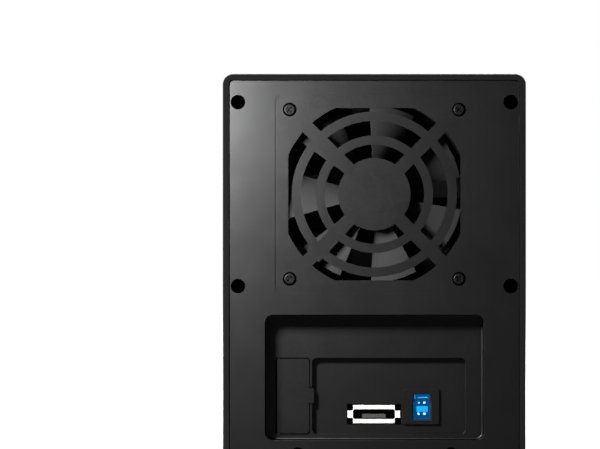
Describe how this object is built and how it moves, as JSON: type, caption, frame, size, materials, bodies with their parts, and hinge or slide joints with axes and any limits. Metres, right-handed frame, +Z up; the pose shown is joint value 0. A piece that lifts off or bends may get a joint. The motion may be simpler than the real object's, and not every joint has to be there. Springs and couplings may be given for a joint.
{
  "type": "multi-bay storage enclosure",
  "caption": "Desktop tower for stacked drives: levered trays in front, ring-grille fan and a recessed port bay with a hinged flap behind.",
  "frame": {"origin": "bottom centre, on the plane that the feet stand on", "axes": "+Z up, +Y towards the rear with the fan and ports, so the trays face -Y"},
  "size_m": [0.128, 0.214, 0.171],
  "materials": {
    "casing": "satin",
    "panel": "satin",
    "front": "gloss",
    "tray": "satin",
    "fan": "satin",
    "button": "satin",
    "lens": "clear",
    "foot": "matte",
    "sheet": "galvanised",
    "screw": "satin black",
    "shell": "tin plated",
    "contact": "gilt",
    "insulator": "satin",
    "blue": "satin",
    "board": "lacquered",
    "chips": "matte",
    "cast": "cast",
    "steel": "brushed",
    "wire": "satin"
  },
  "bodies": {
    "case": {"outer_sleeve": "casing", "rear_panel": "panel", "port_tub": "panel", "flap_pin": "steel", "front_bezel": "panel", "control_fascia": "front", "status_lenses": "lens", "rubber_feet": "foot", "io_bracket": "screw", "bracket_screws": "steel", "esata_shell": "shell", "esata_core": "insulator", "usb_housing": "insulator", "usb_insert": "blue", "connector_contacts": "contact", "power_jack": "insulator", "main_board": "board", "board_standoffs": "steel", "board_screws": "steel", "board_parts": "chips", "backplane_board": "board", "backplane_sockets": "insulator", "front_board": "board", "tact_switches": "chips", "status_lamps": "lens", "panel_ribbon": "wire", "fan_lead": "insulator", "fan_frame": "fan", "fan_stator": "steel", "fan_screws": "screw", "panel_screws": "screw", "base_plate": "sheet", "cage_left": "sheet", "cage_right": "sheet", "cage_top": "sheet"},
    "fan": {"fan_rotor": "fan", "fan_shaft": "steel"},
    "flap": {"port_flap": "panel"},
    "power_key": {"power_button": "button"},
    "fan_key": {"fan_speed_button": "button"},
    "bay_1": {"drive_tray_1": "tray", "hard_drive_1": "cast", "drive_screws_1": "steel"},
    "lever_1": {"tray_lever_1": "tray"},
    "release_1": {"tray_release_1": "button"},
    "bay_2": {"drive_tray_2": "tray", "hard_drive_2": "cast", "drive_screws_2": "steel"},
    "lever_2": {"tray_lever_2": "tray"},
    "release_2": {"tray_release_2": "button"},
    "bay_3": {"drive_tray_3": "tray", "hard_drive_3": "cast", "drive_screws_3": "steel"},
    "lever_3": {"tray_lever_3": "tray"},
    "release_3": {"tray_release_3": "button"},
    "bay_4": {"drive_tray_4": "tray", "hard_drive_4": "cast", "drive_screws_4": "steel"},
    "lever_4": {"tray_lever_4": "tray"},
    "release_4": {"tray_release_4": "button"}
  },
  "joints": [
    {"name": "fan_spin", "type": "hinge", "parent": "case", "child": "fan", "pos_m": [0, 0.0905, 0.1202], "axis": [0, 1, 0], "continuous": true},
    {"name": "flap_hinge", "type": "hinge", "parent": "case", "child": "flap", "pos_m": [0.0405, 0.09735, 0.0346], "axis": [0, 0, -1], "range_deg": [0, 95]},
    {"name": "power_press", "type": "slide", "parent": "case", "child": "power_key", "axis": [0, 1, 0], "range_m": [0, 0.001], "stiffness_N_per_m": 400},
    {"name": "fan_speed_press", "type": "slide", "parent": "case", "child": "fan_key", "axis": [0, 1, 0], "range_m": [0, 0.001], "stiffness_N_per_m": 300},
    {"name": "tray_1_slide", "type": "slide", "parent": "case", "child": "bay_1", "axis": [0, -1, 0], "range_m": [0, 0.14]},
    {"name": "lever_1_hinge", "type": "hinge", "parent": "bay_1", "child": "lever_1", "pos_m": [-0.052, -0.102, 0.0565], "axis": [0, 0, -1], "range_deg": [0, 85]},
    {"name": "release_1_press", "type": "slide", "parent": "bay_1", "child": "release_1", "axis": [0, 1, 0], "range_m": [0, 0.0012], "stiffness_N_per_m": 300},
    {"name": "tray_2_slide", "type": "slide", "parent": "case", "child": "bay_2", "axis": [0, -1, 0], "range_m": [0, 0.14]},
    {"name": "lever_2_hinge", "type": "hinge", "parent": "bay_2", "child": "lever_2", "pos_m": [-0.052, -0.102, 0.0875], "axis": [0, 0, -1], "range_deg": [0, 85]},
    {"name": "release_2_press", "type": "slide", "parent": "bay_2", "child": "release_2", "axis": [0, 1, 0], "range_m": [0, 0.0012], "stiffness_N_per_m": 300},
    {"name": "tray_3_slide", "type": "slide", "parent": "case", "child": "bay_3", "axis": [0, -1, 0], "range_m": [0, 0.14]},
    {"name": "lever_3_hinge", "type": "hinge", "parent": "bay_3", "child": "lever_3", "pos_m": [-0.052, -0.102, 0.1185], "axis": [0, 0, -1], "range_deg": [0, 85]},
    {"name": "release_3_press", "type": "slide", "parent": "bay_3", "child": "release_3", "axis": [0, 1, 0], "range_m": [0, 0.0012], "stiffness_N_per_m": 300},
    {"name": "tray_4_slide", "type": "slide", "parent": "case", "child": "bay_4", "axis": [0, -1, 0], "range_m": [0, 0.14]},
    {"name": "lever_4_hinge", "type": "hinge", "parent": "bay_4", "child": "lever_4", "pos_m": [-0.052, -0.102, 0.1495], "axis": [0, 0, -1], "range_deg": [0, 85]},
    {"name": "release_4_press", "type": "slide", "parent": "bay_4", "child": "release_4", "axis": [0, 1, 0], "range_m": [0, 0.0012], "stiffness_N_per_m": 300}
  ]
}
